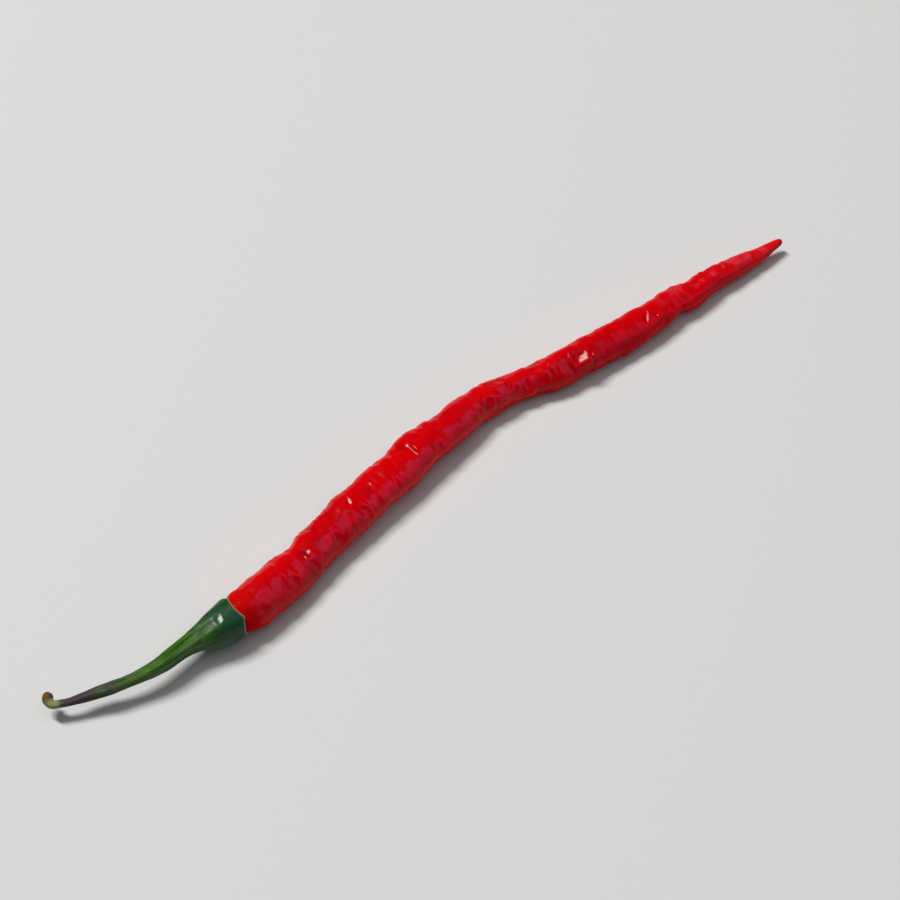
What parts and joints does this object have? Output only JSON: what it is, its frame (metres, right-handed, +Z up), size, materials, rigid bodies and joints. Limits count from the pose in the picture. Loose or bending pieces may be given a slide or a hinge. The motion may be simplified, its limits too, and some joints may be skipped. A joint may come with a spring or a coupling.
{
  "type": "chilli pepper",
  "caption": "Long, thin, curly red chilli pepper lying on its side, with a ribbed green calyx and a short hooked stalk.",
  "frame": {"origin": "on the surface that the pepper lies on, under the middle of its box", "axes": "+X from the stalk's cut end towards the pod's tip, +Z up, +Y to the left of that"},
  "size_m": [0.2037, 0.0183, 0.0103],
  "materials": {
    "pod_skin": "glossy, finely creased red skin",
    "stalk_skin": "satin green skin, drying to grey-brown near the cut end"
  },
  "bodies": {
    "root": {"pod": "pod_skin", "calyx_stalk": "stalk_skin"}
  },
  "joints": []
}
